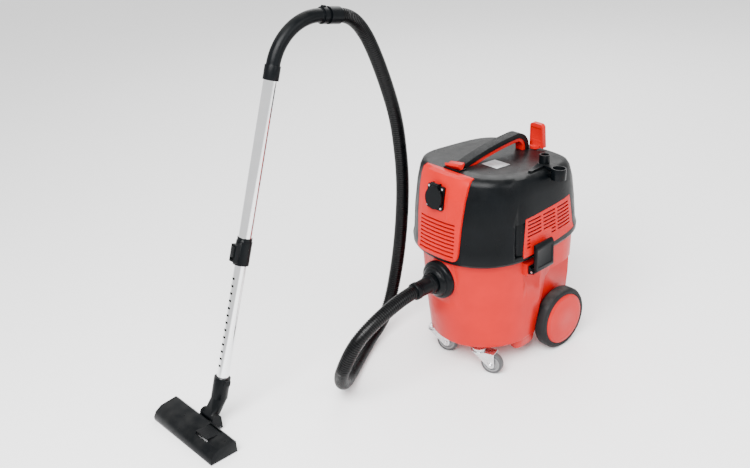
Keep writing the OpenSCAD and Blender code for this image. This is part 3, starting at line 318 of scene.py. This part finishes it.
@dataclass
class Bench:
    """Where pieces are made: holds the finishes and counts what was built."""

    finishes: FinishRack
    made: list[str] = field(default_factory=list)

    def add(self, name: str, mesh: bmesh.types.BMesh, slot: Slot, body: str,
            smooth: float = SMOOTH_ANGLE) -> bpy.types.Object:
        """Turn a bmesh into a piece that rides on a body.

        Args:
            name: name of the piece.
            mesh: its geometry, used up by this call.
            slot: the finish's slot.
            body: the CAD body it moves with.
            smooth: edges flatter than this many degrees are shaded smooth.

        Returns:
            The new object.
        """
        bmesh.ops.recalc_face_normals(mesh, faces=mesh.faces)
        data = bpy.data.meshes.new(name)
        mesh.to_mesh(data)
        mesh.free()
        self.shade(data, smooth)
        data.materials.append(self.finishes[slot])
        piece = bpy.data.objects.new(name, data)
        bpy.context.scene.collection.objects.link(piece)
        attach(piece, body)
        self.made.append(name)
        LOG.info("%s: %d faces on %s", name, len(data.polygons), body)
        return piece

    def shade(self, data: bpy.types.Mesh, smooth: float) -> None:
        """Shade a mesh smooth except over edges sharper than an angle."""
        data.polygons.foreach_set("use_smooth", [True] * len(data.polygons))
        data.set_sharp_from_angle(angle=math.radians(smooth))

    def refine(self, node: str, slot: Slot, body: str, edge: float = 0.0,
               smooth: float = SMOOTH_ANGLE, above: float = 40.0) -> bpy.types.Object:
        """Make the finished skin of a CAD node, with its edges eased.

        Args:
            node: the CAD node it stands for.
            slot: the finish's slot.
            body: the CAD body it moves with.
            edge: width of the eased edges in metres, or 0 to leave them.
            smooth: shading angle in degrees.
            above: only edges sharper than this many degrees are eased.

        Returns:
            The new object.
        """
        mesh = bmesh.new()
        mesh.from_mesh(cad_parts[node].data)
        bmesh.ops.remove_doubles(mesh, verts=mesh.verts, dist=WELD)
        bmesh.ops.dissolve_degenerate(mesh, edges=mesh.edges, dist=DEGENERATE)
        bmesh.ops.dissolve_limit(
            mesh, angle_limit=math.radians(FLAT_ANGLE), verts=mesh.verts, edges=mesh.edges
        )
        if edge > 0.0:
            sharp = [
                e for e in mesh.edges
                if e.is_manifold and e.calc_face_angle(0.0) > math.radians(above)
                and e.calc_length() > SHORTEST_EDGE * edge
            ]
            bmesh.ops.bevel(
                mesh, geom=sharp, offset=edge, segments=BEVEL_SEGMENTS, profile=BEVEL_PROFILE,
                affect="EDGES", clamp_overlap=True,
            )
        piece = self.add(f"{node}_skin", mesh, slot, body, smooth)
        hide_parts(node)
        return piece


def sweep(rings: list[list[Vector]]) -> bmesh.types.BMesh:
    """Join rings of equal length into a tube with capped ends.

    Args:
        rings: the rings in order.

    Returns:
        The tube.
    """
    mesh = bmesh.new()
    rows = [[mesh.verts.new(p) for p in ring] for ring in rings]
    count = len(rows[0])
    for low, high in zip(rows, rows[1:]):
        for i in range(count):
            j = (i + 1) % count
            mesh.faces.new((low[i], low[j], high[j], high[i]))
    mesh.faces.new(list(reversed(rows[0])))
    mesh.faces.new(rows[-1])
    return mesh


def turned(profile: list[tuple[float, float]], centre: Vector, axis: Vector,
           sides: int = 48) -> bmesh.types.BMesh:
    """Turn a closed profile about an axis.

    Args:
        profile: (radius, distance along the axis) points in metres.
        centre: a point on the axis.
        axis: the axis direction.
        sides: number of facets round the axis.

    Returns:
        The turned solid.
    """
    axis = axis.normalized()
    side = axis.orthogonal().normalized()
    other = axis.cross(side)
    mesh = bmesh.new()
    columns = []
    for k in range(sides):
        turn = 2.0 * math.pi * k / sides
        out = side * math.cos(turn) + other * math.sin(turn)
        columns.append([mesh.verts.new(centre + out * r + axis * h) for r, h in profile])
    count = len(profile)
    for k in range(sides):
        a, b = columns[k], columns[(k + 1) % sides]
        for i in range(count):
            j = (i + 1) % count
            mesh.faces.new((a[i], a[j], b[j], b[i]))
    bmesh.ops.remove_doubles(mesh, verts=mesh.verts, dist=1e-6)
    return mesh


# ---------------------------------------------------------------------------
# Camera, light and floor
# ---------------------------------------------------------------------------


@dataclass
class Studio:
    """Camera, soft lights and a plain pale floor."""

    eye: tuple[float, float, float] = (1717.2, -1836.1, 1601.9)
    azimuth: float = 50.3
    elevation: float = 26.3
    roll: float = -4.4
    lens_mm: float = 48.0
    sensor_mm: float = 36.0
    floor_half: float = 9.0
    surround: float = 1.25

    def build(self) -> None:
        """Set up the camera, the lights and the floor."""
        self._camera()
        self._lights()
        self._floor()

    def _camera(self) -> None:
        """Make the scene's camera."""
        az, el = math.radians(self.azimuth), math.radians(self.elevation)
        back = Vector((math.sin(az) * math.cos(el), -math.cos(az) * math.cos(el), math.sin(el)))
        level = Vector((math.cos(az), math.sin(az), 0.0))
        rise = back.cross(level)
        ro = math.radians(self.roll)
        right = level * math.cos(ro) + rise * math.sin(ro)
        up = rise * math.cos(ro) - level * math.sin(ro)
        data = bpy.data.cameras.new("camera")
        data.sensor_width = self.sensor_mm
        data.sensor_fit = "HORIZONTAL"
        data.lens = self.lens_mm
        camera = bpy.data.objects.new("camera", data)
        turn = Matrix((right, up, back)).transposed().to_4x4()
        camera.matrix_world = Matrix.Translation(place(*self.eye)) @ turn
        bpy.context.scene.collection.objects.link(camera)
        bpy.context.scene.camera = camera

    def _lights(self) -> None:
        """Make the soft box lights and the pale surround."""
        world = bpy.data.worlds.new("studio")
        world.use_nodes = True
        surround = world.node_tree.nodes["Background"]
        surround.inputs["Color"].default_value = (1.0, 1.0, 1.0, 1.0)
        surround.inputs["Strength"].default_value = self.surround
        bpy.context.scene.world = world
        for name, where, size, power in (
            ("key_light", (900.0, -1900.0, 2600.0), 2.2, 250.0),
            ("side_light", (2600.0, 300.0, 1700.0), 1.8, 40.0),
            ("rear_light", (-1500.0, 1900.0, 2400.0), 2.4, 60.0),
        ):
            data = bpy.data.lights.new(name, "AREA")
            data.shape = "RECTANGLE"
            data.size = size
            data.size_y = size * 0.8
            data.energy = power
            light = bpy.data.objects.new(name, data)
            spot = place(*where)
            aim = (place(0.0, -150.0, 300.0) - spot).to_track_quat("-Z", "Y")
            light.matrix_world = Matrix.Translation(spot) @ aim.to_matrix().to_4x4()
            bpy.context.scene.collection.objects.link(light)

    def _floor(self) -> None:
        """Make the floor."""
        mesh = bmesh.new()
        bmesh.ops.create_grid(mesh, x_segments=4, y_segments=4, size=self.floor_half)
        data = bpy.data.meshes.new("floor")
        mesh.to_mesh(data)
        mesh.free()
        paint = Finish(
            "studio_floor", (0.96, 0.96, 0.96), (0.97, 0.97, 0.97), 0.8, specular=0.2,
            grain=Grain.SMOOTH, drift_size=2.0,
        )
        data.materials.append(paint.make())
        floor = bpy.data.objects.new("floor", data)
        bpy.context.scene.collection.objects.link(floor)


# ---------------------------------------------------------------------------
# Suction hose
# ---------------------------------------------------------------------------


@dataclass
class SuctionHose:
    """Ribbed hose from the inlet cuff to the collar at the wand."""

    radius: float = 19.0
    rib_depth: float = 1.9
    rib_pitch: float = 6.2
    sides: int = 28
    start: tuple[float, float, float] = (0.0, -293.3, 281.0)
    knots: tuple[tuple[float, float, float], ...] = (
        (-8, -466, 228), (-44, -520, 122), (-110, -462, 32), (-220, -286, 24), (-254, -178, 70),
        (-264, -114, 206), (-252, -90, 392), (-248, -88, 548), (-250, -108, 706),
        (-260, -174, 908),
    )
    wand_foot: tuple[float, float, float] = (-250.0, -763.0, 120.0)
    wand_lean: float = 19.5
    wand_len: float = 832.0
    bend_r: float = 140.0
    bend_turn: float = 82.5
    collar_end: float = 58.3

    def finish_point(self) -> tuple[Vector, Vector]:
        """Find where the hose enters the wand's collar.

        Returns:
            The point in millimetres and the direction out of the hand tube.
        """
        lean = math.radians(self.wand_lean)
        end = math.radians(self.wand_lean + self.bend_turn)
        along = Vector((0.0, math.sin(lean), math.cos(lean)))
        middle = (Vector(self.wand_foot) + along * self.wand_len
                  + Vector((0.0, math.cos(lean), -math.sin(lean))) * self.bend_r)
        way = Vector((0.0, math.sin(end), math.cos(end)))
        rim = middle + Vector((0.0, -math.cos(end), math.sin(end))) * self.bend_r
        return rim + way * self.collar_end, way

    def route(self, steps: int) -> list[Vector]:
        """Follow the smooth way through the knots.

        Args:
            steps: points between two knots.

        Returns:
            The points in millimetres.
        """
        start = Vector(self.start)
        finish, way = self.finish_point()
        knots = [Vector(k) for k in self.knots]
        before = knots[0] + Vector((0.0, 1.8 * (knots[0] - start).length, 0.0))
        after = knots[-1] - way * 1.8 * (finish - knots[-1]).length
        p = [before, start, *knots, finish, after]
        points = []
        for i in range(len(knots) + 1):
            a, b, c, d = p[i:i + 4]
            for k in range(steps):
                t = k / steps
                points.append(0.5 * (2 * b + (c - a) * t + (2 * a - 5 * b + 4 * c - d) * t * t
                                     + (3 * b - a - 3 * c + d) * t ** 3))
        points.append(finish)
        return points

    def build(self, bench: Bench) -> None:
        fine = self.route(60)
        lengths = [0.0]
        for a, b in zip(fine, fine[1:]):
            lengths.append(lengths[-1] + (b - a).length)
        total = lengths[-1]
        count = int(total / self.rib_pitch)
        step = total / count
        pattern = ((0.0, 1.0), (0.42, 1.0), (0.55, 0.0), (0.87, 0.0))
        stations = [(k + share) * step for k in range(count) for share, _ in pattern]
        depths = [deep for _ in range(count) for _, deep in pattern]
        stations.append(total)
        depths.append(1.0)
        centres, ways = [], []
        seat = 0
        for s in stations:
            while seat < len(lengths) - 2 and lengths[seat + 1] < s:
                seat += 1
            span = lengths[seat + 1] - lengths[seat]
            t = min(1.0, (s - lengths[seat]) / span)
            centres.append(fine[seat].lerp(fine[seat + 1], t))
            ways.append((fine[seat + 1] - fine[seat]).normalized())
        side = Vector((1.0, 0.0, 0.0))
        rings = []
        for centre, way, deep in zip(centres, ways, depths):
            side = (side - way * side.dot(way)).normalized()
            other = way.cross(side)
            r = self.radius - self.rib_depth * (1.0 - deep)
            rings.append([
                place(*(centre + (side * math.cos(a) + other * math.sin(a)) * r))
                for a in (2.0 * math.pi * i / self.sides for i in range(self.sides))
            ])
        hose = bench.add("ribbed_hose", sweep(rings), Slot.HOSE, "machine", smooth=50.0)
        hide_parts("hose")
        LOG.info("hose length %.3f m", total * MM)


# ---------------------------------------------------------------------------
# Sub-assemblies that keep the CAD shapes
# ---------------------------------------------------------------------------


@dataclass(frozen=True)
class Skin:
    """How one CAD node is finished: slot, eased edge and shading angle."""

    node: str
    slot: Slot
    edge: float = 0.0
    smooth: float = SMOOTH_ANGLE
    above: float = 40.0


@dataclass
class SubAssembly:
    """A group of CAD nodes that ride on one body."""

    body: str
    skins: tuple[Skin, ...]

    def build(self, bench: Bench) -> None:
        """Finish every node of the group."""
        for skin in self.skins:
            bench.refine(skin.node, skin.slot, self.body, skin.edge * MM, skin.smooth, skin.above)


@dataclass
class PaintedShadeSheet:
    """Dark sheet behind a slotted panel: painted shade that makes the view through the slots read
    dark.
    """

    name: str
    panel: str
    shift: tuple[float, float, float]
    side: int = 0
    shrink: float = 0.95

    def build(self, bench: Bench) -> None:
        """Shape the dark sheet from the outline of its panel, a little behind it, as painted shade
        for the slots.
        """
        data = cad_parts[self.panel].data
        points = [v.co.copy() for v in data.vertices
                  if self.side * (v.co.x - SET_AT.x) >= 0.0]
        middle = sum(points, Vector()) / len(points)
        mesh = bmesh.new()
        for p in points:
            mesh.verts.new(middle + (p - middle) * self.shrink + Vector(self.shift) * MM)
        hull = bmesh.ops.convex_hull(mesh, input=mesh.verts)
        inner = [g for g in hull["geom_interior"] if isinstance(g, bmesh.types.BMVert)]
        bmesh.ops.delete(mesh, geom=inner, context="VERTS")
        loose = [v for v in mesh.verts if not v.link_faces]
        bmesh.ops.delete(mesh, geom=loose, context="VERTS")
        # dark rubber finish on this sheet is painted shade seen through the slots
        bench.add(self.name, mesh, Slot.SEAL, "head")


@dataclass
class AxleNuts:
    """Hexagonal nut and bolt head at the two ends of a caster's axle."""

    side: str
    across: float = 5.2
    thick: float = 3.2
    stem: tuple[float, float] = (86.0, -138.0)
    trail: float = 38.0
    turn: float = 20.0
    height: float = 31.0
    search: float = 9.0

    def build(self, bench: Bench) -> None:
        """Seat a nut on each outer face of the fork."""
        angle = math.radians(self.turn)
        sign = 1.0 if self.side == "right" else -1.0
        centre = place(
            sign * self.stem[0] + self.trail * math.cos(angle),
            self.stem[1] + self.trail * math.sin(angle),
            self.height,
        )
        axle = Vector((-math.sin(angle), math.cos(angle), 0.0))
        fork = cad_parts[f"caster_fork_{self.side}"].data
        for end, way in (("front", -axle), ("rear", axle)):
            offsets = [v.co - centre for v in fork.vertices]
            reach = max(
                o.dot(way) for o in offsets
                if (o - way * o.dot(way)).length < self.search * MM
            )
            r, low, high = self.across * MM, reach - 0.5 * MM, reach + self.thick * MM
            ease = 0.6 * MM
            profile = [(0.0, low), (r, low), (r, high - ease), (r - ease, high), (0.0, high)]
            mesh = turned(profile, centre, way, sides=6)
            bench.add(f"axle_nut_{self.side}_{end}", mesh, Slot.ZINC, f"fork_{self.side}", 20.0)


def groups() -> list[SubAssembly]:
    """List the sub-assemblies and the finish of each of their nodes."""
    red, black, soft = Slot.RED, Slot.BLACK, Slot.SOFT_BLACK
    listed = [
        SubAssembly("machine", (
            Skin("tank", red, 0.0, 28.0), Skin("tank_seal", Slot.SEAL),
            Skin("inlet_flange", black, 0.8), Skin("rear_axle", Slot.STEEL, 0.8),
            Skin("latch_brackets", black, 0.7), Skin("latch_pins", Slot.STEEL, 0.3),
            Skin("caster_plates", Slot.ZINC, 0.4), Skin("hose_collar", black, 1.0),
        )),
        SubAssembly("cuff", (Skin("inlet_cuff", black, 0.6),)),
        SubAssembly("head", (
            Skin("head_cover", black, 0.0, 30.0), Skin("head_base", black),
            Skin("front_panel", red, 0.0, 30.0), Skin("vent_panels", red, 0.0, 30.0),
            Skin("handle_grip", soft, 3.0, 40.0), Skin("handle_liner", red, 1.5, 40.0),
            Skin("accessory_holder", black, 0.6, 35.0), Skin("label_plate", Slot.LABEL, 0.15),
            Skin("socket_body", black, 0.5), Skin("socket_screws", Slot.STEEL, 0.3),
            Skin("switch_body", black, 0.4), Skin("cable_gland", black, 0.5),
            Skin("motor_housing", Slot.GREY), Skin("stator", Slot.COPPER),
            Skin("bearings", Slot.STEEL), Skin("circuit_box", black, 0.6),
            Skin("filter_cage", black), Skin("filter_cartridge", Slot.PAPER, 0.0, 12.0),
            Skin("filter_nut", red, 0.8),
        )),
        SubAssembly("rocker", (Skin("rocker", red, 0.6),)),
        SubAssembly("socket_lid", (Skin("socket_lid", black, 0.7),)),
        SubAssembly("cable_hook", (Skin("cable_hook", red, 1.2),)),
        SubAssembly("rotor", (Skin("rotor", Slot.STEEL),)),
        SubAssembly("float", (Skin("float", Slot.WHITE, 1.0),)),
        SubAssembly("wand", (
            Skin("hand_tube", black, 0.5), Skin("upper_tube", Slot.CHROME),
            Skin("telescope_sleeve", black, 0.9),
        )),
        SubAssembly("suction_slider", (Skin("suction_slider", black, 0.6),)),
        SubAssembly("lock_button", (Skin("lock_button", soft, 0.8),)),
        SubAssembly("lower_tube", (Skin("lower_tube", Slot.CHROME), Skin("elbow", black, 0.7))),
        SubAssembly("floor_head", (
            Skin("floor_shell", black, 1.2), Skin("sole_plate", Slot.STEEL, 0.3),
        )),
        SubAssembly("pedal", (Skin("pedal", soft, 0.8),)),
        SubAssembly("brushes", (Skin("brush_strips", Slot.BRISTLE),)),
        SubAssembly("rollers", (Skin("rollers", Slot.GREY, 0.6),)),
    ]
    for side in ("right", "left"):
        listed += [
            SubAssembly(f"latch_{side}", (Skin(f"latch_{side}", black, 1.0),)),
            SubAssembly(f"wheel_{side}", (
                Skin(f"tyre_{side}", Slot.TYRE, 1.2), Skin(f"hub_{side}", Slot.TYRE, 0.8),
                Skin(f"wheel_cap_{side}", red, 0.8),
            )),
            SubAssembly(f"fork_{side}", (Skin(f"caster_fork_{side}", Slot.ZINC, 0.6),)),
            SubAssembly(f"caster_{side}", (
                Skin(f"caster_wheel_{side}", Slot.CASTER, 0.6),
                Skin(f"caster_tyre_{side}", Slot.CASTER_TYRE, 1.0),
            )),
        ]
    return listed


def main() -> None:
    """Build the set in order."""
    logging.basicConfig(level=logging.INFO, format="%(name)s: %(message)s")
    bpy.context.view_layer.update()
    Studio().build()
    bench = Bench(FinishRack())
    SuctionHose().build(bench)
    for group in groups():
        group.build(bench)
    # dark sheets behind the slotted panels: painted shade inside the head
    for shade_sheet in (
        PaintedShadeSheet("front_painted_shade", "front_panel", (0.0, 9.0, 0.0)),
        PaintedShadeSheet("vent_painted_shade_right", "vent_panels", (-7.0, 0.0, 0.0), 1),
        PaintedShadeSheet("vent_painted_shade_left", "vent_panels", (7.0, 0.0, 0.0), -1),
    ):
        shade_sheet.build(bench)
    for side in ("right", "left"):
        AxleNuts(side).build(bench)
    LOG.info("%d pieces", len(bench.made))


if __name__ == "__main__":
    main()
